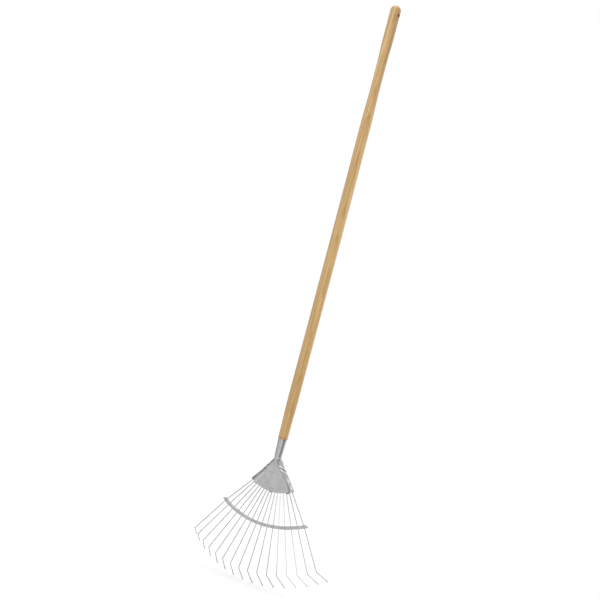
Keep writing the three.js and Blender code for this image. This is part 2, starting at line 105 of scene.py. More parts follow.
WIRE_RADIUS = 1.25
WIRE_CHAMFER = 0.3
WORN_LENGTH = 70
TINE_COUNT = 16
TINE_SPACING = 8.9
TINE_STEP_ANGLE = math.radians(5.23)
FORWARD_LEAN = math.radians(11)
TINE_GRIP = 24
TINE_LOCK = 4.4
TINE_PLAY = 0.75
HEEL_DROP = 3
OUTER_KINK = math.radians(4.4)
BRACE_DROP = 243.5
BRACE_ARC_RADIUS = 302
BEND_DROP = 375
BEND_ARC_RADIUS = 403
HOOK_LENGTH = 59.6
HOOK_ANGLE = math.radians(61.6)
# Each bend's radius, and the steps it is made of
LOCK_BEND = (2, 8)
HEEL_BEND = (20, 6)
BRACE_BEND = (20, 4)
HOOK_BEND = (5, 10)
# The wires' painted highlight at the brightest place, then above and below the brace: the brightest
# place, and how far the painted brightness reaches to its left and right.
TINE_PAINTED_LIGHT = 0.7
PAINTED_LIGHT_ABOVE = (7, 10, 6)
PAINTED_LIGHT_BELOW = (10, 4, 4)

# The brace's width, depth and corner are its channel's inner ones: the sheet lies outside them.
BRACE_INNER_WIDTH = 7.4
BRACE_INNER_DEPTH = 5.4
BRACE_INNER_CORNER = 1.7
BRACE_SHEET = 0.9
BRACE_OVERHANG = 8.5
BRACE_END_SLANT = 0.8
BRACE_HOLE_RADIUS = 1.85

TINE_DEPTH = SHEET + TINE_PLAY + WIRE_RADIUS
BACK_PLATE_DEPTH = TINE_DEPTH + WIRE_RADIUS + GAP
BACK_PLATE_WIDTH_SHARE = 0.93
TAB_PLACE = 12
TAB_WIDTH = 5.2
TAB_DROP = 2.8
TAB_ROOT = 3
TAB_HOLD = 6
TAB_INSET = 0.15

OUTERMOST = TINE_COUNT - 1
PLACES = range(-OUTERMOST, OUTERMOST + 1, 2)

# Stations down the head pressing. The tube's: the drop, and the half angle left open at the seam.
TUBE_STATIONS = [(0, 3.4), (14, 3.5), (28, 3.7), (41, 5), (51, 34)]
# The fan's: the middle of the panel, the crease, and the flank's free edge.
FAN_STATIONS = [
    ((0, -8.6, -60.5), (4.5, -8.2, -60), (13.3, 6.3, -58)),
    ((0, -8.6, -72), (11, -8.0, -71), (21.3, 6.5, -69.5)),
    ((0, -5.6, -89), (21, -4.8, -85.5), (32.3, 8.6, -84.5)),
    ((0, 0.8, -108), (35, 2.4, -101), (45.0, 12.3, -100.5)),
    ((0, 6.3, -128), (49, 7, -116.5), (58.2, 14.2, -116)),
    ((0, 7.5, -151.5), (62, 7.5, -136), (71.4, 13.2, -132.5)),
]
FIRST_FAN = len(TUBE_STATIONS)
LAST_STATION = FIRST_FAN + len(FAN_STATIONS) - 1
CREASE_SHARE = 0.62
TUBE_CREASE_ANGLE = 30
CREASE_ROUNDING = 0.09
FLANK_BULGES = (1.5, 0.9, 0.4, 0, 0, 0)
CREASE_START = CREASE_SHARE - CREASE_ROUNDING
CREASE_END = CREASE_SHARE + CREASE_ROUNDING
BACK_PLATE_TOP = LAST_STATION - 1.55
BACK_PLATE_BOTTOM = LAST_STATION - 0.06

# Marks pressed into the flanks: places down the head in stations, places across a flank in shares
# of its width.
RIB_STATION = 6.2
RIB_SLANT = 0.62
RIB_CURVE = 1.4
RIB_PITCH = 0.62
RIB_REACH = 0.26
RIB_ROOT = 0.25
RIB_HEIGHT = 1.2
BEAD_ACROSS, BEAD_HALF_WIDTH = 0.56, 0.3
BEAD_STATION, BEAD_HALF_LENGTH = 8.95, 0.78
BEAD_RING = 0.8
BEAD_REACH = 0.42
BEAD_HEIGHT = 0.9
# Painted shade between the ribs, inside the bead and above the upper rib
HOLLOW_RISE = 0.35
BEAD_HOLLOW = 0.55
UPPER_HOLLOW_STATION = 5.5
UPPER_HOLLOW_REACH = 0.55
UPPER_HOLLOW_TONE = 0.45
UPPER_HOLLOW_ROOT, UPPER_HOLLOW_RISE = 0.45, 0.3

# Painted tones along the folds: a painted shade line on the crease, wider near the neck, and on the
# left flank a painted highlight on the fold that turns to painted shade near the lower edge, with a
# painted highlight band on the panel beside it.
CREASE_LINE = 0.06
CREASE_WIDENING = 1.4
WIDENING_STATIONS = 2
CREASE_FADE_STATIONS = 0.9
CREASE_FADE_START = 0.7
HOLLOW_TONE = 0.85
BEAD_TONE = 0.8
FOLD_BLEND = 0.05
FOLD_DARK_FROM = 7.6
FOLD_DARK_TONE = 0.7
FOLD_LIGHT_TONE = 0.5
BAND_INSET, BAND_REACH = 0.09, 0.06
BAND_TONE = 0.22

# Small widths that edges are rounded by
WOOD_EDGE = 0.25
PRESSING_EDGE = 0.28
TAB_EDGE = 0.3
SHEET_EDGE = 0.2
SCREW_EDGE = 0.12
# Edges that turn by more degrees than this stay sharp, or are rounded
SHARP = 40
WOOD_SHARP = 35
SCREW_SHARP = 30
WIRE_SHARP = 50
# How far in from its border a sheet is rubbed bright
RIM_REACH = 3.0

# Fineness of the meshes
TURNED_SIDES = 96
SCREW_SIDES = 48
WIRE_SIDES = 16
DRILL_SIDES = 32
EASED_STEPS = 16
SHOULDER_STEPS = 6
SHAFT_STEPS = 40
DOME_STEPS = 20
PANEL_STEPS = 12
ROUNDING_STEPS = 8
FLANK_STEPS = 18
ROWS_PER_STATION = 14
RIM_ROWS = 12
PLATE_ROWS = 5
PLATE_ROUNDING_STEPS = 2
PLATE_FLANK_STEPS = 4
TAB_COLUMNS = 6
TAB_FOLD_STEPS = 14
SCREW_HEAD_STEPS = 8
BRACE_STEPS_PER_TINE = 3
BRACE_END_STEPS = 4
FLANGE_STEPS = 4
CORNER_STEPS = 6

# Searches on the skin
HALVINGS = 30
NEWTON_ROUNDS = 25
FIRST_GUESS_REACH = 90
FIRST_GUESS_ABOVE_EDGE = 1.0
SKIN_STEP = 0.01
SEARCH_STEP = 1e-3
STRAIGHT_TURN = 1e-4

MILLIMETRE = 0.001


def lerp(a, b, t):
    return a + (b - a) * t


def clamp(value, low=0.0, high=1.0):
    return min(max(value, low), high)


def smooth(t):
    t = clamp(t)
    return t * t * (3 - 2 * t)


def to_metres(point):
    return Vector((point.x, point.y, point.z - HOLE_ABOVE_JOINT)) * MILLIMETRE


# -------------------------------- the head pressing's skin

def socket_radius(drop):
    return lerp(SOCKET_TOP_RADIUS, SOCKET_NECK_RADIUS, drop / SOCKET_LENGTH)


def tube_point(share, station):
    """One side of the tube's section, from the front (share 0) to the seam at the back (share 1)."""
    drop, seam = TUBE_STATIONS[station]
    if share < CREASE_SHARE:
        degrees = lerp(0, TUBE_CREASE_ANGLE, share / CREASE_SHARE)
    else:
        degrees = lerp(TUBE_CREASE_ANGLE, 180 - seam, (share - CREASE_SHARE) / (1 - CREASE_SHARE))
    angle = math.radians(degrees)
    radius = socket_radius(drop)
    return Vector((radius * math.sin(angle), -radius * math.cos(angle), -drop))


def fan_point(share, station):
    """One side of the fan's section: a bowed panel, a rounded crease and a flank folded back."""
    middle, crease, edge = (Vector(p) for p in FAN_STATIONS[station])

    def on_panel(s):
        across = s / CREASE_SHARE
        point = middle.lerp(crease, across ** 2)
        point.x = crease.x * across
        return point

    def on_flank(s):
        t = (s - CREASE_SHARE) / (1 - CREASE_SHARE)
        across = edge - crease
        outward = Vector((across.y, -across.x, 0)).normalized()
        return crease.lerp(edge, t) + outward * (FLANK_BULGES[station] * 4 * t * (1 - t))

    if share <= CREASE_START:
        return on_panel(share)
    if share >= CREASE_END:
        return on_flank(share)
    t = (share - CREASE_START) / (CREASE_END - CREASE_START)
    start, end = on_panel(CREASE_START), on_flank(CREASE_END)
    return start.lerp(crease, t).lerp(crease.lerp(end, t), t)


@lru_cache(maxsize=None)
def station_point(share, station):
    if station < FIRST_FAN:
        return tube_point(share, station)
    return fan_point(share, station - FIRST_FAN)


def centripetal(p0, p1, p2, p3, t):
    """A point of the centripetal curve between p1 and p2."""
    d0, d1, d2 = ((b - a).length ** 0.5 for a, b in ((p0, p1), (p1, p2), (p2, p3)))
    m1 = ((p1 - p0) / d0 - (p2 - p0) / (d0 + d1) + (p2 - p1) / d1) * d1
    m2 = ((p2 - p1) / d1 - (p3 - p1) / (d1 + d2) + (p3 - p2) / d2) * d1
    bend = (p2 - p1) * 3 - m1 * 2 - m2
    twist = (p1 - p2) * 2 + m1 + m2
    return p1 + m1 * t + bend * t ** 2 + twist * t ** 3


def skin_point(side, station):
    """A point of the outer skin: side from -1 to 1 across, station from 0 at the joint downwards."""
    share = abs(side)
    first = min(int(station), LAST_STATION - 1)
    p1, p2 = station_point(share, first), station_point(share, first + 1)
    p0 = station_point(share, first - 1) if first > 0 else p1 * 2 - p2
    p3 = station_point(share, first + 2) if first + 2 <= LAST_STATION else p2 * 2 - p1
    point = centripetal(p0, p1, p2, p3, station - first)
    if side < 0:
        point.x = -point.x
    return point


def skin_normal(side, station):
    """The outward direction of the skin, by small steps across and down."""
    across = skin_point(side + SKIN_STEP, station) - skin_point(side - SKIN_STEP, station)
    lower = min(station + SKIN_STEP, LAST_STATION)
    down = skin_point(side, lower) - skin_point(side, lower - SKIN_STEP)
    return down.cross(across).normalized()


def behind_skin(side, station, distance):
    return skin_point(side, station) - skin_normal(side, station) * distance


@lru_cache(maxsize=None)
def side_at_edge(x):
    """The side whose skin at the fan's lower edge lies at a given x."""
    low, high = 0.0, 1.0
    for _ in range(HALVINGS):
        middle = (low + high) / 2
        if skin_point(middle, LAST_STATION).x < abs(x):
            low = middle
        else:
            high = middle
    return math.copysign(low, x)


def skin_place(x, z):
    """The side and station whose skin lies at a given x and z."""
    side, station = x / FIRST_GUESS_REACH, LAST_STATION - FIRST_GUESS_ABOVE_EDGE
    for _ in range(NEWTON_ROUNDS):
        here = skin_point(side, station)
        across = (skin_point(side + SEARCH_STEP, station) - here) / SEARCH_STEP
        down = (skin_point(side, station - SEARCH_STEP) - here) / -SEARCH_STEP
        want_x, want_z = x - here.x, z - here.z
        area = across.x * down.z - down.x * across.z
        side = clamp(side + (want_x * down.z - down.x * want_z) / area, -1, 1)
        move = (across.x * want_z - want_x * across.z) / area
        station = clamp(station + move, FIRST_FAN, LAST_STATION)
    return side, station


# -------------------------------- the tines' lines

def tine_direction(spread, lean):
    """Downward direction of a tine, spread by an angle and leaning to the front by another."""
    return Vector((math.sin(spread), -math.tan(lean), -math.cos(spread))).normalized()


def spread_angle(place):
    return place * TINE_STEP_ANGLE / 2


def lean_angle(place):
    return FORWARD_LEAN * math.cos(2 * spread_angle(place))


def lower_spread(place):
    """The outermost tines straighten a few degrees below the brace."""
    outward = abs(place) / OUTERMOST
    return spread_angle(place) - math.copysign(OUTER_KINK * outward ** 6, place)


def meet_arc(start, direction, drop, arc_radius):
    """Where a ray meets an arc that sags to the given drop below the joint at the middle."""
    from_z = start.z - (arc_radius - drop)
    square = direction.x ** 2 + direction.z ** 2
    half = start.x * direction.x + from_z * direction.z
    rest = start.x ** 2 + from_z ** 2 - arc_radius ** 2
    return start + direction * ((-half + math.sqrt(half ** 2 - square * rest)) / square)


def exit_point(place):
    return behind_skin(side_at_edge(TINE_SPACING / 2 * place), LAST_STATION, TINE_DEPTH)


def heel_point(place):
    """Just below the plate's edge, where the tine starts to lean forward."""
    return exit_point(place) + tine_direction(spread_angle(place), 0) * HEEL_DROP


def brace_point(place):
    direction = tine_direction(spread_angle(place), lean_angle(place))
    return meet_arc(heel_point(place), direction, BRACE_DROP, BRACE_ARC_RADIUS)


@lru_cache(maxsize=None)
def grip_top(place):
    """The place on the skin in front of a tine's inner end."""
    leaving, spread = exit_point(place), spread_angle(place)
    x = leaving.x - TINE_GRIP * math.sin(spread)
    z = leaving.z + TINE_GRIP * math.cos(spread)
    return skin_place(x, z)


# -------------------------------- mesh building

def sheet_rim(rows):
    """How near each point of a sheet is to its border: 1 on it, 0 from a few millimetres in."""
    height, width = len(rows), len(rows[0])

    def length_down(c, first, last):
        if last - first >= RIM_ROWS:
            return RIM_REACH
        return sum((rows[i][c] - rows[i - 1][c]).length for i in range(first + 1, last + 1))

    rims = []
    for r in range(height):
        walked = [0.0]
        for c in range(1, width):
            walked.append(walked[-1] + (rows[r][c] - rows[r][c - 1]).length)
        for c in range(width):
            above, below = length_down(c, 0, r), length_down(c, r, height - 1)
            nearest = min(walked[c], walked[-1] - walked[c], above, below)
            rims.append(1 - clamp(nearest / RIM_REACH))
    return rims


def thick_sheet(rows, thickness):
    """A closed sheet from rows of points on its outer skin, thickened towards the inside."""
    height, width = len(rows), len(rows[0])

    def normal(r, c):
        down = rows[min(r + 1, height - 1)][c] - rows[max(r - 1, 0)][c]
        across = rows[r][min(c + 1, width - 1)] - rows[r][max(c - 1, 0)]
        return down.cross(across).normalized()

    points = [p for row in rows for p in row]
    points += [rows[r][c] - normal(r, c) * thickness for r in range(height) for c in range(width)]
    back = height * width
    faces = []
    for r in range(height - 1):
        for c in range(width - 1):
            a, b = r * width + c, (r + 1) * width + c
            faces.append((a, b, b + 1, a + 1))
            faces.append((back + a, back + a + 1, back + b + 1, back + b))
        a, b = r * width, (r + 1) * width
        faces.append((a, back + a, back + b, b))
        a, b = a + width - 1, b + width - 1
        faces.append((a, b, back + b, back + a))
    for c in range(width - 1):
        faces.append((c, c + 1, back + c + 1, back + c))
        a = (height - 1) * width + c
        faces.append((a, back + a, back + a + 1, a + 1))
    rims = sheet_rim(rows)
    return points, faces, {"rim": rims + rims}


def lathe(profile, sides):
    """A closed solid turned round Z from (radius, height) pairs that start and end on the axis."""
    points, rings = [], []
    for radius, height in profile:
        if radius == 0:
            rings.append([len(points)] * sides)
            points.append(Vector((0, 0, height)))
            continue
        rings.append(list(range(len(points), len(points) + sides)))
        for i in range(sides):
            angle = 2 * math.pi * i / sides
            points.append(Vector((radius * math.cos(angle), radius * math.sin(angle), height)))
    faces = []
    for low, high in zip(rings, rings[1:]):
        for i in range(sides):
            j = (i + 1) % sides
            ring = [low[i], low[j], high[j], high[i]]
            faces.append([v for k, v in enumerate(ring) if v != ring[k - 1]])
    return points, faces


def aim(points, centre, direction):
    """Turns points made round Z to lie along a direction from a centre."""
    turn = Vector((0, 0, 1)).rotation_difference(direction)
    return [turn @ p + centre for p in points]


def merge(parts):
    points, faces = [], []
    for part_points, part_faces in parts:
        shift = len(points)
        points += part_points
        faces += [[v + shift for v in face] for face in part_faces]
    return points, faces


def make_piece(name, points, faces, attributes=None):
    mesh = bpy.data.meshes.new(name)
    mesh.from_pydata([to_metres(p) for p in points], [], faces)
    for key, values in (attributes or {}).items():
        mesh.attributes.new(key, "FLOAT", "POINT").data.foreach_set("value", values)
    work = bmesh.new()
    work.from_mesh(mesh)
    bmesh.ops.recalc_face_normals(work, faces=work.faces)
    work.to_mesh(mesh)
    work.free()
    piece = bpy.data.objects.new(name, mesh)
    bpy.context.collection.objects.link(piece)
    return piece


def settle(piece):
    """Keeps the shape that a piece's modifiers give it, and drops the modifiers."""
    graph = bpy.context.evaluated_depsgraph_get()
    settled = bpy.data.meshes.new_from_object(piece.evaluated_get(graph))
    piece.modifiers.clear()
    piece.data = settled


def cut(piece, solids, crossing=False):
    """Cuts closed solids out of a piece, whose faces may cross one another where it is folded tight."""
    cutter = make_piece("cutter", *merge(solids))
    cutting = piece.modifiers.new("cut", "BOOLEAN")
    cutting.operation = "DIFFERENCE"
    cutting.solver = "EXACT"
    cutting.use_self = crossing
    cutting.object = cutter
    settle(piece)
    bpy.data.objects.remove(cutter)


def soften(piece, width, sharp_degrees=SHARP):
    """Rounds the sharp edges by a small width, and shades the rest smooth."""
    bevel = piece.modifiers.new("soften", "BEVEL")
    bevel.limit_method = "ANGLE"
    bevel.angle_limit = math.radians(sharp_degrees)
    bevel.width = width * MILLIMETRE
    bevel.segments = 2
    bevel.use_clamp_overlap = True
    settle(piece)
    for face in piece.data.polygons:
        face.use_smooth = True
    weighted = piece.modifiers.new("even", "WEIGHTED_NORMAL")
    weighted.keep_sharp = True
    settle(piece)


def dress(piece, material, slot_name, *nodes):
    piece.data.materials.clear()
    piece.data.materials.append(material)
    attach(piece, "root")
    if nodes:
        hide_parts(*nodes)


# -------------------------------- procedural materials

class Nodes:
    """A node tree, built by short calls."""

    def __init__(self, owner):
        owner.use_nodes = True
        self.tree = owner.node_tree

    def node(self, kind, feeds=None, **settings):
        made = self.tree.nodes.new(kind)
        for key, value in settings.items():
            setattr(made, key, value)
        for key, value in (feeds or {}).items():
            self.feed(made.inputs[key], value)
        return made

    def feed(self, socket, value):
        if isinstance(value, bpy.types.NodeSocket):
            self.tree.links.new(value, socket)
        else:
            socket.default_value = value

    def math(self, operation, *values):
        return self.node("ShaderNodeMath", dict(enumerate(values)), operation=operation).outputs[0]

    def plus(self, first, second):
        return self.math("ADD", first, second)

    def minus(self, first, second):
        return self.math("SUBTRACT", first, second)

    def times(self, first, second):
        return self.math("MULTIPLY", first, second)

    def ranged(self, *values):
        """A value between two bounds, turned smoothly into one between two others."""
        feeds = dict(enumerate(values))
        return self.node("ShaderNodeMapRange", feeds, interpolation_type="SMOOTHSTEP").outputs[0]

    def length(self, x, y):
        return self.math("SQRT", self.plus(self.times(x, x), self.times(y, y)))


class Shader(Nodes):
    """A material's nodes, placed by the piece's own coordinates."""

    def __init__(self, name):
        self.material = bpy.data.materials.new(name)
        super().__init__(self.material)
        self.surface = self.tree.nodes["Principled BSDF"]
        self.place = self.node("ShaderNodeTexCoord").outputs["Object"]

    def noise(self, scale, detail=2, roughness=0.5):
        """Noise with this many waves to the metre along each axis."""
        place = self.node("ShaderNodeMapping", {"Vector": self.place, "Scale": scale}).outputs[0]
        feeds = {"Vector": place, "Scale": 1, "Detail": detail, "Roughness": roughness}
        return self.node("ShaderNodeTexNoise", feeds).outputs[0]

    def mix(self, share, first, second, blend="MIX"):
        made = self.node("ShaderNodeMix", data_type="RGBA", blend_type=blend)
        for index, value in ((0, share), (6, first), (7, second)):
            self.feed(made.inputs[index], value)
        return made.outputs[2]

    def attribute(self, name):
        return self.node("ShaderNodeAttribute", attribute_name=name).outputs["Fac"]

    def bump(self, height, strength, distance, below=None):
        feeds = {"Height": height, "Strength": strength, "Distance": distance}
        if below is not None:
            feeds["Normal"] = below
        return self.node("ShaderNodeBump", feeds).outputs[0]

    def finish(self, **values):
        for key, value in values.items():
            self.feed(self.surface.inputs[key.replace("_", " ")], value)
        return self.material


def rgb(red, green, blue):
    return (red, green, blue, 1.0)


def grey(level):
    return rgb(level, level, level)


# Tones of varnished ash
ASH_PALE, ASH_DEEP = rgb(0.75, 0.50, 0.228), rgb(0.56, 0.346, 0.138)
ASH_PATCH = rgb(0.585, 0.357, 0.132)
ASH_RING = rgb(0.42, 0.233, 0.0783)
ASH_FIBRE = rgb(0.45, 0.262, 0.095)
ASH_PORE = rgb(0.25, 0.123, 0.0391)
ASH_BROWN = rgb(0.4, 0.222, 0.0745)
ASH_LIGHT_LINE = rgb(0.74, 0.53, 0.28)
ASH_DARK_EDGE = rgb(0.33, 0.165, 0.045)
ASH_END_GRAIN = rgb(0.4, 0.209, 0.0609)
ASH_PAINTED_HOLE_SHADE = rgb(0.05, 0.0238, 0.0087)
PAINTED_SHADE_TINT, PAINTED_LIGHT_TINT = rgb(0.945, 0.953, 0.98), rgb(1.05, 1.045, 0.985)
# Where the pith lies beside the handle, at the height of the hole, in metres, and its lean and drift
PITH_X, PITH_Y = -0.045, 0.031
PITH_LEAN_X, PITH_LEAN_Y = 0.011, -0.008
PITH_DRIFT = 0.05
RING_WIDTH = 0.0029
# The camera's right, across the handle: the way the painted light, the growth lines and the darker edge are
# placed
CAMERA_RIGHT = (0.88, 0.47)
# The lines that run up the handle: their slope towards the camera's right, and their place at the joint
DARK_LINE = (0.012, 0.0025)
PALE_LINE = (0.035, -0.0465)


def ring_share(s, x, y, z):
    """How porous the wood is by its place in a growth ring. The rings run out in long loops."""
    drift = s.noise((3, 3, 1.6), detail=1)
    waver = s.noise((60, 60, 9))
    pith_x = s.plus(s.times(z, PITH_LEAN_X), s.times(drift, PITH_DRIFT))
    from_x = s.minus(x, s.plus(pith_x, PITH_X))
    from_y = s.minus(y, s.math("MULTIPLY_ADD", z, PITH_LEAN_Y, PITH_Y))
    ring = s.math("DIVIDE", s.length(from_x, from_y), RING_WIDTH)
    phase = s.math("FRACT", s.math("MULTIPLY_ADD", waver, 1.1, ring))
    return s.math("MAXIMUM", s.ranged(phase, 0, 0.34, 1, 0), s.ranged(phase, 0.86, 1, 0, 1))


def tone_by_place(s, tone, x, y, z):
    """The wood's tone changed by where it lies in the handle."""
    height = s.plus(z, HOLE_ABOVE_JOINT * MILLIMETRE)
    outward = s.plus(s.times(x, CAMERA_RIGHT[0]), s.times(y, CAMERA_RIGHT[1]))

    def beside(slope, start):
        line = s.math("MULTIPLY_ADD", height, slope, start)
        return s.math("ABSOLUTE", s.minus(outward, line))

    # Painted light and painted shade below the grip: the side towards the camera's right is painted paler and
    # yellower, the other side darker and bluer.
    painted_side_light = s.mix(s.ranged(outward, -0.008, 0.006, 0, 1), PAINTED_SHADE_TINT, PAINTED_LIGHT_TINT)
    tone = s.mix(s.ranged(height, 0.8, 1.1, 1, 0), tone, painted_side_light, "MULTIPLY")
    # A dark growth line and a browner tone near the foot.
    near_foot = s.ranged(height, 0.06, 0.2, 0.5, 0)
    dark = s.times(s.ranged(beside(*DARK_LINE), 0, 0.004, 1, 0), near_foot)
    tone = s.mix(dark, tone, ASH_BROWN)
    tone = s.mix(s.ranged(height, 0.16, 0.3, 0.27, 0), tone, ASH_BROWN)
    # A paler growth line near the knob, and the wood darker near the knob towards its edge on the camera's
    # right.
    near_knob = s.ranged(height, 1, 1.15, 0, 1)
    pale = s.times(s.ranged(beside(*PALE_LINE), 0.0008, 0.0035, 0.7, 0), near_knob)
    tone = s.mix(pale, tone, ASH_LIGHT_LINE)
    dark_edge = s.times(s.ranged(outward, 0.004, 0.0145, 0, 0.8), near_knob)
    tone = s.mix(dark_edge, tone, ASH_DARK_EDGE)
    # At the foot, where the wood is cut across, it drinks more varnish and is darker; deep in the hanging
    # hole it is painted nearly black, the end grain's darker tone with a painted shade for the hole's dark
    # inside.
    tone = s.mix(s.ranged(height, 0.0015, 0.012, 0.55, 0), tone, ASH_END_GRAIN)
    deep = s.ranged(s.length(x, y), 0.0112, 0.0128, 1, 0)
    level = s.times(s.ranged(z, -0.0065, -0.0055, 0, 1), s.ranged(z, 0.0055, 0.0065, 1, 0))
    return s.mix(s.times(deep, level), tone, ASH_PAINTED_HOLE_SHADE)


def ash_wood():
    s = Shader("ash_wood")
    x, y, z = s.node("ShaderNodeSeparateXYZ", {"Vector": s.place}).outputs
    porous = ring_share(s, x, y, z)
    fibre = s.noise((950, 950, 14), detail=3, roughness=0.6)
    fleck = s.noise((2600, 2600, 95), detail=1)
    pores = s.times(s.ranged(fleck, 0.55, 0.7, 0, 1), porous)
    streak = s.noise((260, 260, 3.2))
    patch = s.noise((22, 22, 5), detail=1)
    tone = s.mix(s.ranged(streak, 0.36, 0.66, 0, 1), ASH_DEEP, ASH_PALE)
    tone = s.mix(s.ranged(patch, 0.35, 0.7, 0, 0.55), tone, ASH_PATCH)
    tone = s.mix(s.times(porous, 0.5), tone, ASH_RING)
    tone = s.mix(s.ranged(fibre, 0.42, 0.7, 0, 0.5), tone, ASH_FIBRE)
    tone = s.mix(s.times(pores, 0.55), tone, ASH_PORE)
    tone = tone_by_place(s, tone, x, y, z)
    gloss = s.math("MULTIPLY_ADD", fibre, 0.16, 0.36)
    gloss = s.plus(gloss, s.times(pores, 0.12))
    relief = s.minus(s.times(fibre, 0.5), pores)
    return s.finish(
        Base_Color=tone, Roughness=gloss, Coat_Weight=0.22, Coat_Roughness=0.28,
        Normal=s.bump(relief, 0.35, 0.0002))


PAINTED_SHADE_TONE = grey(0.2)
PAINTED_HIGHLIGHT_TONE = grey(0.88)


def steel(name, light, dark, grain, brushed, dull):
    """Bare steel: mottled, with drawing lines along its grain, brighter worn edges, and the painted shade and
    painted highlights that a piece carries.
    """
    s = Shader(name)
    cloud = s.noise((70, 70, 70), detail=3, roughness=0.55)
    speck = s.noise((900, 900, 900))
    lines = s.noise(grain, detail=3, roughness=0.65)
    rim = s.attribute("rim")
    tone = s.mix(s.ranged(cloud, 0.3, 0.7, 0, 1), dark, light)
    tone = s.mix(s.ranged(lines, 0.35, 0.7, 0, 0.35), tone, dark)
    tone = s.mix(s.ranged(speck, 0.6, 0.75, 0, 0.25), tone, dark)
    tone = s.mix(s.times(rim, 0.3), tone, light)
    # Painted shade from the crease attribute: a dark line on the head's crease, shade in its hollows and on
    # its left fold
    tone = s.mix(s.times(s.attribute("crease"), 0.85), tone, PAINTED_SHADE_TONE)
    # Painted highlights on the head's ribs, bead and folds, and painted light along the wires
    painted_highlight = s.attribute("painted_highlight")
    tone = s.mix(s.times(painted_highlight, 0.95), tone, PAINTED_HIGHLIGHT_TONE)
    gloss = s.math("MULTIPLY_ADD", cloud, 0.14, dull)
    gloss = s.plus(gloss, s.times(lines, 0.12))
    gloss = s.minus(gloss, s.times(s.math("MAXIMUM", rim, painted_highlight), 0.08))
    fine = s.bump(lines, brushed, 0.00005)
    return s.finish(
        Base_Color=tone, Roughness=gloss, Metallic=1.0, Normal=s.bump(cloud, 0.12, 0.0006, fine))


# -------------------------------- handle

def eased(from_radius, to_radius, from_height, to_height):
    """Profile points that pass smoothly from one radius to another."""
    pairs = []
    for i in range(1, EASED_STEPS + 1):
        t = i / EASED_STEPS
        pairs.append((lerp(from_radius, to_radius, smooth(t)), lerp(from_height, to_height, t)))
    return pairs


def tang_radius(drop):
    return socket_radius(drop) - SHEET - TANG_PLAY


def handle_profile():
    """The turned handle's (radius, height) pairs from the tang's end up to the dome's top."""
    tang_tip = tang_radius(TANG_LENGTH)
    profile = [
        (0, -TANG_LENGTH),
        (tang_tip - TANG_CHAMFER, -TANG_LENGTH),
        (tang_tip, -TANG_LENGTH + TANG_CHAMFER),
        (tang_radius(0), GAP),
        (FOOT_RADIUS - FOOT_SHOULDER, GAP),
    ]
    for i in range(1, SHOULDER_STEPS + 1):
        angle = i / SHOULDER_STEPS * math.pi / 2
        profile.append((
            FOOT_RADIUS - FOOT_SHOULDER + FOOT_SHOULDER * math.sin(angle),
            GAP + FOOT_SHOULDER - FOOT_SHOULDER * math.cos(angle)))
    profile += eased(FOOT_RADIUS, HANDLE_RADIUS, GAP + FOOT_SHOULDER, FOOT_LENGTH)
    for i in range(1, SHAFT_STEPS + 1):
        profile.append((HANDLE_RADIUS, lerp(FOOT_LENGTH, GRIP_TAPER_START, i / SHAFT_STEPS)))
    profile += eased(HANDLE_RADIUS, GRIP_WAIST_RADIUS, GRIP_TAPER_START, GRIP_WAIST_START)
    profile += [(GRIP_WAIST_RADIUS, GRIP_WAIST_END)]
    profile += eased(GRIP_WAIST_RADIUS, KNOB_RADIUS, GRIP_WAIST_END, KNOB_START)
    profile += [(KNOB_RADIUS, KNOB_END)]
    dome_start = HANDLE_LENGTH - DOME_HEIGHT
    for i in range(DOME_STEPS):
        angle = i / DOME_STEPS * math.pi / 2
        profile.append((KNOB_RADIUS * math.cos(angle), dome_start + DOME_HEIGHT * math.sin(angle)))
    profile.append((0, HANDLE_LENGTH))
    return profile


def hanging_bore():
    """The hanging hole as a solid: a bore across the knob that flares at both mouths."""
    far, mouth = 2 * KNOB_RADIUS, KNOB_RADIUS - HOLE_MOUTH_INSET
    half = [
        (0, -far),
        (HOLE_RADIUS + HOLE_FLARE + far - mouth, -far),
        (HOLE_RADIUS, -mouth + HOLE_FLARE),
    ]
    points, faces = lathe(half + [(radius, -height) for radius, height in reversed(half)], DRILL_SIDES)
    return aim(points, Vector((0, 0, HOLE_ABOVE_JOINT)), Vector((1, 0, 0))), faces


def make_handle():
    points, faces = lathe(handle_profile(), TURNED_SIDES)
    for point in points:
        point.x += HANDLE_BOW * math.sin(math.pi * clamp(point.z / HOLE_ABOVE_JOINT)) ** 2
    handle = make_piece("ash_handle", points, faces)
    cut(handle, [hanging_bore(), screw_bore(SCREW_BORE_CENTRE, SCREW_BORE_LENGTH)])
    soften(handle, WOOD_EDGE, WOOD_SHARP)
    dress(handle, ash_wood(), "ash_wood", "handle")


def drill(centre, direction, radius, length):
    """A plain drill of the given radius and length, centred on a point."""
    half = length / 2
    points, faces = lathe([(0, -half), (radius, -half), (radius, half), (0, half)], DRILL_SIDES)
    return aim(points, centre, direction), faces


def screw_bore(centre, length):
    """The socket screw's bore, centred this far behind the handle's axis."""
    middle = Vector((0, centre, -SCREW_DROP))
    return drill(middle, Vector((0, 1, 0)), SCREW_SHANK_RADIUS + GAP, length)


# -------------------------------- head pressing and its tabs

def row_shares(panel_steps, rounding_steps, flank_steps):
    """The shares of a row's points, closer together round the crease."""
    half = [i / panel_steps * CREASE_START for i in range(panel_steps)]
    half += [lerp(CREASE_START, CREASE_END, i / rounding_steps) for i in range(rounding_steps)]
    half += [lerp(CREASE_END, 1, i / flank_steps) for i in range(flank_steps + 1)]
    return [-share for share in reversed(half[1:])] + half


def bump_at(distance, half_width):
    """A rounded ridge's height, from 1 on its line to 0 at its half width."""
    return math.cos(clamp(abs(distance) / half_width) * math.pi / 2) ** 2


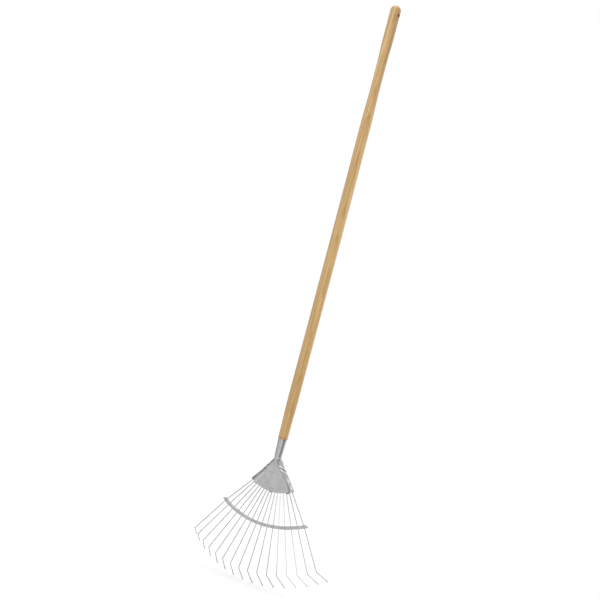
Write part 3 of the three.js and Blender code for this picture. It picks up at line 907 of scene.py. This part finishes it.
def pressed_pattern(side, station):
    """The ribs and the bead on a flank at a place, and the painted shade for the hollows beside them, each 0
    to 1.
    """
    flank = (abs(side) - CREASE_SHARE) / (1 - CREASE_SHARE)
    if flank < 0 or station < FIRST_FAN:
        return 0, 0, 0
    upper_rib = RIB_STATION + RIB_SLANT * flank ** RIB_CURVE
    ribs = bump_at(station - upper_rib, RIB_REACH) + bump_at(station - upper_rib - RIB_PITCH, RIB_REACH)
    ribs *= smooth(flank / RIB_ROOT)
    between = bump_at(station - upper_rib - RIB_PITCH / 2, RIB_REACH)
    between *= smooth((flank - RIB_ROOT) / HOLLOW_RISE)
    across = (flank - BEAD_ACROSS) / BEAD_HALF_WIDTH
    along = (station - BEAD_STATION) / BEAD_HALF_LENGTH
    from_bead = math.hypot(across, along)
    bead = bump_at(from_bead - BEAD_RING, BEAD_REACH)
    above = UPPER_HOLLOW_TONE * bump_at(station - UPPER_HOLLOW_STATION, UPPER_HOLLOW_REACH)
    above *= smooth((flank - UPPER_HOLLOW_ROOT) / UPPER_HOLLOW_RISE)
    return ribs, bead, max(between, bump_at(from_bead, BEAD_HOLLOW), above)


def right_tones(side, station, ribs, bead, hollow):
    """The painted shade and the painted highlight right of the middle: a dark line on the crease with shade
    in the hollows, and highlights on the pressed marks.
    """
    wide = CREASE_LINE * (1 + CREASE_WIDENING * (1 - smooth((station - FIRST_FAN) / WIDENING_STATIONS)))
    fade = smooth((station - FIRST_FAN) / CREASE_FADE_STATIONS + CREASE_FADE_START)
    line = bump_at(abs(side) - CREASE_SHARE, wide) * fade
    return clamp(line + HOLLOW_TONE * hollow), clamp(ribs + BEAD_TONE * bead)


def left_tones(side, station):
    """The painted shade and the painted highlight left of the middle: the fold, and the band beside it."""
    folded = smooth((-side - CREASE_SHARE) / FOLD_BLEND)
    low = smooth(station - FOLD_DARK_FROM)
    band = bump_at(-side - CREASE_SHARE + BAND_INSET, BAND_REACH)
    light = FOLD_LIGHT_TONE * folded * (1 - low) + BAND_TONE * band * low
    return FOLD_DARK_TONE * folded * low, light


def make_head():
    sides = row_shares(PANEL_STEPS, ROUNDING_STEPS, FLANK_STEPS)
    rows, painted_shades, painted_highlight = [], [], []
    for r in range(LAST_STATION * ROWS_PER_STATION + 1):
        station = r / ROWS_PER_STATION
        row = []
        for side in sides:
            ribs, bead, hollow = pressed_pattern(side, station)
            if side > 0:
                dark, light = right_tones(side, station, ribs, bead, hollow)
            else:
                dark, light = left_tones(side, station)
            painted_shades.append(dark)
            painted_highlight.append(light)
            relief = RIB_HEIGHT * ribs + BEAD_HEIGHT * bead
            point = skin_point(side, station)
            row.append(point + skin_normal(side, station) * relief if relief else point)
        rows.append(row)
    points, faces, attributes = thick_sheet(rows, SHEET)
    # Painted shade and painted highlights, read by the steel's tones
    attributes.update({"crease": painted_shades * 2, "painted_highlight": painted_highlight * 2})
    head = make_piece("fan_pressing", points, faces, attributes)
    cut(head, [screw_bore(SOCKET_TOP_RADIUS, SHEET_DRILL_LENGTH)])
    soften(head, PRESSING_EDGE)
    dress(head, SHEET_STEEL, "sheet_steel", "head_pressing")
    for name, place in (("left", -TAB_PLACE), ("middle", 0), ("right", TAB_PLACE)):
        tab = make_tab(f"folded_tab_{name}", place * TINE_SPACING / 2)
        dress(tab, PAINTED_SHADE_TAB_STEEL, "sheet_steel")


def make_tab(name, x):
    """A tab on the fan plate's lower edge, folded back round the lower edge of the back plate."""
    side = side_at_edge(x)
    root, front = skin_point(side, LAST_STATION), skin_normal(side, LAST_STATION)
    beside = skin_point(side + SKIN_STEP, LAST_STATION) - skin_point(side - SKIN_STEP, LAST_STATION)
    across = beside.normalized()
    down = across.cross(front).normalized()
    back_depth = BACK_PLATE_DEPTH + SHEET + 2 * GAP + SHEET
    middle_depth = (TAB_INSET + back_depth) / 2
    path = [(-TAB_ROOT, TAB_INSET)]
    for i in range(TAB_FOLD_STEPS + 1):
        angle = i / TAB_FOLD_STEPS * math.pi
        depth = middle_depth - (middle_depth - TAB_INSET) * math.cos(angle)
        path.append((TAB_DROP * math.sin(angle), depth))
    path.append((-TAB_HOLD, back_depth))
    places = [lerp(-0.5, 0.5, c / TAB_COLUMNS) * TAB_WIDTH for c in range(TAB_COLUMNS + 1)]
    rows = [[root + across * place + down * drop - front * depth for place in places] for drop, depth in path]
    tab = make_piece(name, *thick_sheet(rows, SHEET))
    soften(tab, TAB_EDGE)
    return tab


# -------------------------------- back clamp plate

def make_back_plate():
    """Its fold keeps few points, because many would cross one another so far inside the skin's fold."""
    shares = row_shares(PANEL_STEPS, PLATE_ROUNDING_STEPS, PLATE_FLANK_STEPS)
    sides = [share * BACK_PLATE_WIDTH_SHARE for share in shares]
    rows = []
    for r in range(PLATE_ROWS + 1):
        station = lerp(BACK_PLATE_TOP, BACK_PLATE_BOTTOM, r / PLATE_ROWS)
        rows.append([behind_skin(side, station, BACK_PLATE_DEPTH) for side in sides])
    plate = make_piece("back_plate", *thick_sheet(rows, SHEET))
    holes = []
    for place in PLACES:
        side, station = grip_top(place)
        centre = behind_skin(side, station, BACK_PLATE_DEPTH)
        holes.append(drill(centre, skin_normal(side, station), WIRE_RADIUS + 2 * GAP, SHEET_DRILL_LENGTH))
    cut(plate, holes, crossing=True)
    soften(plate, SHEET_EDGE)
    dress(plate, SHEET_STEEL, "sheet_steel", "back_clamp_plate")


# -------------------------------- tines

def rounded_path(corners):
    """Points along a line whose corners are rounded: (point, radius, steps) for each corner."""
    samples = [corners[0][0]]
    for before, (point, radius, steps), after in zip(corners, corners[1:], corners[2:]):
        arriving = (point - before[0]).normalized()
        leaving = (after[0] - point).normalized()
        turn = arriving.angle(leaving)
        if turn < STRAIGHT_TURN:
            continue
        start = point - arriving * (radius * math.tan(turn / 2))
        inward = (leaving - arriving * leaving.dot(arriving)).normalized()
        for i in range(steps + 1):
            angle = i / steps * turn
            forward, aside = radius * math.sin(angle), radius * (1 - math.cos(angle))
            samples.append(start + arriving * forward + inward * aside)
    samples.append(corners[-1][0])
    return samples


def sweep_wire(path):
    """A round wire along a path, its ends cut square with the edge just broken."""
    tangents = []
    for i, here in enumerate(path):
        before, after = path[max(i - 1, 0)], path[min(i + 1, len(path) - 1)]
        arriving, leaving = here - before, after - here
        tangents.append((arriving.normalized() + leaving.normalized()).normalized())
    (first, first_way), (last, last_way) = (path[0], tangents[0]), (path[-1], tangents[-1])
    end_radius = WIRE_RADIUS - WIRE_CHAMFER
    stops = [(first, first_way, end_radius), (first + first_way * WIRE_CHAMFER, first_way, WIRE_RADIUS)]
    stops += [(p, t, WIRE_RADIUS) for p, t in zip(path[1:-1], tangents[1:-1])]
    stops += [(last - last_way * WIRE_CHAMFER, last_way, WIRE_RADIUS), (last, last_way, end_radius)]
    normal = first_way.orthogonal().normalized()
    points, faces, along = [], [], []
    walked = 0.0
    for i, (centre, tangent, radius) in enumerate(stops):
        if i:
            normal = stops[i - 1][1].rotation_difference(tangent) @ normal
            walked += (centre - stops[i - 1][0]).length
        binormal = tangent.cross(normal)
        for k in range(WIRE_SIDES):
            angle = 2 * math.pi * k / WIRE_SIDES
            points.append(centre + (normal * math.cos(angle) + binormal * math.sin(angle)) * radius)
            along.append(walked)
    for i in range(len(stops) - 1):
        for k in range(WIRE_SIDES):
            j = (k + 1) % WIRE_SIDES
            a, b = i * WIRE_SIDES, (i + 1) * WIRE_SIDES
            faces.append((a + k, a + j, b + j, b + k))
    faces.append(list(reversed(range(WIRE_SIDES))))
    faces.append(list(range((len(stops) - 1) * WIRE_SIDES, len(stops) * WIRE_SIDES)))
    total = along[-1]
    return points, faces, {"rim": [1 - clamp((total - walked) / WORN_LENGTH) for walked in along]}


def tine_corners(place):
    """A tine's corners from its locked inner end to its tip, each with its bend's radius and steps."""
    side, station = grip_top(place)
    inner = behind_skin(side, station, TINE_DEPTH)
    lock = behind_skin(side, station, TINE_DEPTH + TINE_LOCK)
    at_brace = brace_point(place)
    lower = tine_direction(lower_spread(place), lean_angle(place))
    bend = meet_arc(at_brace, lower, BEND_DROP, BEND_ARC_RADIUS)
    back = Vector((0, 1, 0))
    back = (back - lower * back.dot(lower)).normalized()
    tip = bend + (lower * math.cos(HOOK_ANGLE) + back * math.sin(HOOK_ANGLE)) * HOOK_LENGTH
    return [
        (lock, 0, 0),
        (inner, *LOCK_BEND),
        (heel_point(place), *HEEL_BEND),
        (at_brace, *BRACE_BEND),
        (bend, *HOOK_BEND),
        (tip, 0, 0),
    ]


def painted_light_by_place(place, brightest, reach_left, reach_right):
    """How bright a wire is painted: a painted highlight falling off to both sides of the brightest one."""
    reach = reach_left if place < brightest else reach_right
    return TINE_PAINTED_LIGHT * (1 - clamp(abs(place - brightest) / reach))


def make_tines():
    for i, place in enumerate(PLACES):
        points, faces, attributes = sweep_wire(rounded_path(tine_corners(place)))
        # Each wire's painted highlight, one strength above the brace and another below it
        above = painted_light_by_place(place, *PAINTED_LIGHT_ABOVE)
        below = painted_light_by_place(place, *PAINTED_LIGHT_BELOW)
        level = brace_point(place).z
        attributes["painted_highlight"] = [above if p.z > level else below for p in points]
        tine = make_piece(f"spring_tine_{i + 1:02d}", points, faces, attributes)
        mesh = tine.data
        for face in mesh.polygons:
            face.use_smooth = True
        mesh.set_sharp_from_angle(angle=math.radians(WIRE_SHARP))
        dress(tine, WIRE_STEEL, "wire_steel", f"tine_{i + 1:02d}")


# -------------------------------- brace

def brace_line():
    """The brace's middle line with the tine direction there, from one end to the other."""
    steps = BRACE_STEPS_PER_TINE
    line = []
    for i in range(-OUTERMOST * steps, OUTERMOST * steps + 1):
        place = i / steps
        line.append((brace_point(place), tine_direction(spread_angle(place), lean_angle(place))))

    def extended(end, inner):
        outward = (end[0] - inner[0]).normalized()
        reaches = [BRACE_OVERHANG * i / BRACE_END_STEPS for i in range(1, BRACE_END_STEPS + 1)]
        return [(end[0] + outward * reach, end[1]) for reach in reaches]

    first = extended(line[0], line[steps])
    last = extended(line[-1], line[-1 - steps])
    return first[::-1] + line + last


def channel_section():
    """The channel's section as (down, front) pairs: a flange, the web in front, a flange."""
    half, front, corner = BRACE_INNER_WIDTH / 2, BRACE_INNER_DEPTH / 2, BRACE_INNER_CORNER
    section = [(-half, lerp(-front, front - corner, i / FLANGE_STEPS)) for i in range(FLANGE_STEPS)]
    for centre, start in ((-half + corner, math.pi), (half - corner, math.pi / 2)):
        for i in range(CORNER_STEPS + 1):
            angle = start - i / CORNER_STEPS * math.pi / 2
            section.append((centre + corner * math.cos(angle), front - corner + corner * math.sin(angle)))
    section += [(half, lerp(front - corner, -front, i / FLANGE_STEPS)) for i in range(1, FLANGE_STEPS + 1)]
    return section


def make_brace():
    line = brace_line()
    last = len(line) - 1
    slants = {0: -BRACE_END_SLANT, last: BRACE_END_SLANT}
    rows = []
    for i, (point, down) in enumerate(line):
        along = (line[min(i + 1, last)][0] - line[max(i - 1, 0)][0]).normalized()
        front = down.cross(along).normalized()
        down = along.cross(front).normalized()
        slant = slants.get(i, 0)
        rows.append([point + down * p + front * q + along * (slant * p) for p, q in channel_section()])
    brace = make_piece("tine_brace", *thick_sheet(rows, BRACE_SHEET))
    holes = []
    for place in PLACES:
        direction = tine_direction((spread_angle(place) + lower_spread(place)) / 2, lean_angle(place))
        holes.append(drill(brace_point(place), direction, BRACE_HOLE_RADIUS, 2 * BRACE_INNER_WIDTH))
    cut(brace, holes)
    soften(brace, SHEET_EDGE)
    dress(brace, BRACE_STEEL, "sheet_steel", "brace_channel")


# -------------------------------- socket screw

def make_screw():
    base = socket_radius(SCREW_DROP) + SCREW_STANDOFF
    profile = [
        (0, -SCREW_POINT),
        (SCREW_SHANK_RADIUS, SCREW_POINT),
        (SCREW_SHANK_RADIUS, base),
        (SCREW_HEAD_RADIUS, base),
    ]
    for i in range(SCREW_HEAD_STEPS + 1):
        angle = i / SCREW_HEAD_STEPS * math.pi / 2
        profile.append((
            SCREW_HEAD_RADIUS - SCREW_HEAD_ROUNDING * (1 - math.cos(angle)) - SCREW_HEAD_DRAFT,
            base + SCREW_HEAD_SIDE + (SCREW_HEAD_HEIGHT - SCREW_HEAD_SIDE) * math.sin(angle)))
    profile.append((0, base + SCREW_HEAD_HEIGHT))
    points, faces = lathe(profile, SCREW_SIDES)
    centre = Vector((0, 0, -SCREW_DROP))
    screw = make_piece("pan_head_screw", aim(points, centre, Vector((0, 1, 0))), faces)
    for turn in (RECESS_TURN, RECESS_TURN + math.pi / 2):
        cut(screw, [cross_recess(centre, base + SCREW_HEAD_HEIGHT, turn)])
    soften(screw, SCREW_EDGE, SCREW_SHARP)
    dress(screw, SCREW_STEEL, "screw_steel", "socket_screw")


def cross_recess(centre, top, turn):
    """One bar of a cross recess, tapering towards its bottom."""
    along = Vector((math.cos(turn), 0, math.sin(turn)))
    aside = Vector((-math.sin(turn), 0, math.cos(turn)))
    points = []
    for depth, length, width in RECESS_ENDS:
        middle = centre + Vector((0, top - depth, 0))
        for a, b in ((-1, -1), (1, -1), (1, 1), (-1, 1)):
            points.append(middle + along * (a * length) + aside * (b * width))
    faces = [(0, 1, 2, 3), (7, 6, 5, 4), (0, 4, 5, 1), (1, 5, 6, 2), (2, 6, 7, 3), (3, 7, 4, 0)]
    return points, faces


# -------------------------------- studio

# Angles are in degrees, and lengths here are in metres.
VIEW_AZIMUTH = 28.16
VIEW_ELEVATION = 0.45
VIEW_ROLL = 14.77
VIEW_DISTANCE = 4.2
AIM_FROM_HOLE = Vector((-0.0475, -0.0220, -0.8367))
LENS, SENSOR = 90, 36
FARTHEST_SEEN = 100

SOFTBOX_TURN = 105
SOFTBOX_ELEVATION = 18
SOFTBOX_DISTANCE = 3.4
SOFTBOX_SIZE = (1.4, 2.2)
SOFTBOX_POWER = 17

# Brightness of the studio's walls, by the angle to the right of the wall behind the camera.
STUDIO_WALLS = [
    (-180, 0.4), (-150, 0.25), (-118, 0.5), (-85, 1.0), (-25, 0.95), (2, 1.35),
    (16, 1.35), (35, 0.05), (68, 0.05), (90, 0.9), (115, 1.1), (180, 0.4),
]
# The walls end at this height, as the upward share of a direction. To one side they are taller.
WALL_TOP = (0.18, 0.38)
TALL_WALL_END = (0.14, 0.22)
TALL_WALL_RISE = 0.22
STUDIO_UPPER = 1.01
CEILING_START = (0.85, 0.98)
STUDIO_CEILING = 2.1

FLOOR_RADIUS = 1.6
FLOOR_SIDES = 128
FLOOR_BELOW = 0.002


def direction_from(azimuth, elevation):
    a, e = math.radians(azimuth), math.radians(elevation)
    return Vector((math.sin(a) * math.cos(e), -math.cos(a) * math.cos(e), math.sin(e)))


def make_camera():
    lens = bpy.data.cameras.new("camera")
    lens.sensor_width = SENSOR
    lens.lens = LENS
    lens.clip_end = FARTHEST_SEEN
    camera = bpy.data.objects.new("camera", lens)
    bpy.context.collection.objects.link(camera)
    back = direction_from(VIEW_AZIMUTH, VIEW_ELEVATION)
    turn = back.to_track_quat("Z", "Y").to_matrix().to_4x4()
    camera.matrix_world = (
        Matrix.Translation(AIM_FROM_HOLE + back * VIEW_DISTANCE)
        @ turn @ Matrix.Rotation(math.radians(VIEW_ROLL), 4, "Z"))
    bpy.context.scene.camera = camera


def make_softbox(middle):
    data = bpy.data.lights.new("softbox", "AREA")
    data.shape = "RECTANGLE"
    data.size, data.size_y = SOFTBOX_SIZE
    data.energy = SOFTBOX_POWER
    light = bpy.data.objects.new("softbox", data)
    bpy.context.collection.objects.link(light)
    towards = direction_from(VIEW_AZIMUTH + SOFTBOX_TURN, SOFTBOX_ELEVATION)
    light.location = middle + towards * SOFTBOX_DISTANCE
    light.rotation_mode = "QUATERNION"
    light.rotation_quaternion = towards.to_track_quat("Z", "Y")
    light.visible_camera = False


def make_world():
    """A white studio: plain white behind the object, soft grey and white walls all round it."""
    world = bpy.data.worlds.new("studio")
    bpy.context.scene.world = world
    w = Nodes(world)
    w.tree.nodes.clear()
    place = w.node("ShaderNodeTexCoord").outputs["Generated"]
    x, y, z = w.node("ShaderNodeSeparateXYZ", {"Vector": place}).outputs
    azimuth = w.math("ARCTAN2", x, w.times(y, -1))
    turned = w.minus(azimuth, math.radians(VIEW_AZIMUTH))
    share = w.math("FRACT", w.math("MULTIPLY_ADD", turned, 1 / (2 * math.pi), 0.5))
    ramp = w.node("ShaderNodeValToRGB", {"Fac": share})
    ramp.color_ramp.interpolation = "EASE"
    stops = ramp.color_ramp.elements
    for degrees, level in STUDIO_WALLS:
        share_round = (degrees + 180) / 360
        ends = {0: stops[0], 1: stops[-1]}
        stop = ends.get(share_round) or stops.new(share_round)
        stop.color = grey(level)
    taller = w.ranged(share, *TALL_WALL_END, TALL_WALL_RISE, 0)
    walls_end = w.ranged(w.minus(z, taller), *WALL_TOP, 0, 1)
    walls = w.times(ramp.outputs[0], w.minus(1, walls_end))
    level = w.math("MULTIPLY_ADD", walls_end, STUDIO_UPPER, walls)
    level = w.times(level, w.ranged(z, *CEILING_START, 1, STUDIO_CEILING))
    room = w.node("ShaderNodeBackground", {"Color": grey(1), "Strength": level})
    backdrop = w.node("ShaderNodeBackground", {"Color": grey(1), "Strength": 1})
    seen = w.node("ShaderNodeLightPath").outputs["Is Camera Ray"]
    both = w.node("ShaderNodeMixShader", {0: seen, 1: room.outputs[0], 2: backdrop.outputs[0]})
    w.node("ShaderNodeOutputWorld", {"Surface": both.outputs[0]})


def make_floor():
    low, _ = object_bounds()
    work = bmesh.new()
    bmesh.ops.create_circle(work, cap_ends=True, segments=FLOOR_SIDES, radius=FLOOR_RADIUS)
    mesh = bpy.data.meshes.new("floor")
    work.to_mesh(mesh)
    work.free()
    floor = bpy.data.objects.new("floor", mesh)
    bpy.context.collection.objects.link(floor)
    floor.location.z = low.z - FLOOR_BELOW
    s = Shader("pale_floor")
    cloud = s.noise((1.5, 1.5, 1.5), detail=3)
    tone = s.mix(cloud, grey(0.885), grey(0.91))
    mesh.materials.append(s.finish(Base_Color=tone, Roughness=0.8, Specular_IOR_Level=0.1))


# -------------------------------- build

scene = bpy.context.scene
scene.view_settings.view_transform = "Standard"

SHEET_STEEL = steel("sheet_steel", grey(0.49), grey(0.41), (900, 900, 30), 0.12, 0.17)
# The folded tabs wear the sheet steel painted nearly black, a painted shade for their folds
PAINTED_SHADE_TAB_STEEL = steel("tab_steel_painted_shade", rgb(0.13, 0.13, 0.135), rgb(0.07, 0.07, 0.075), (900, 900, 900), 0.3, 0.36)
BRACE_STEEL = steel("brace_steel", grey(0.50), grey(0.41), (40, 900, 900), 0.12, 0.26)
WIRE_STEEL = steel("wire_steel", grey(0.48), grey(0.39), (1400, 1400, 25), 0.15, 0.2)
SCREW_STEEL = steel("screw_steel", grey(0.50), rgb(0.36, 0.36, 0.365), (1500, 200, 1500), 0.2, 0.24)

make_camera()
make_handle()
make_head()
make_back_plate()
make_tines()
make_brace()
make_screw()
make_world()
make_softbox((cad_low + cad_high) / 2)
make_floor()
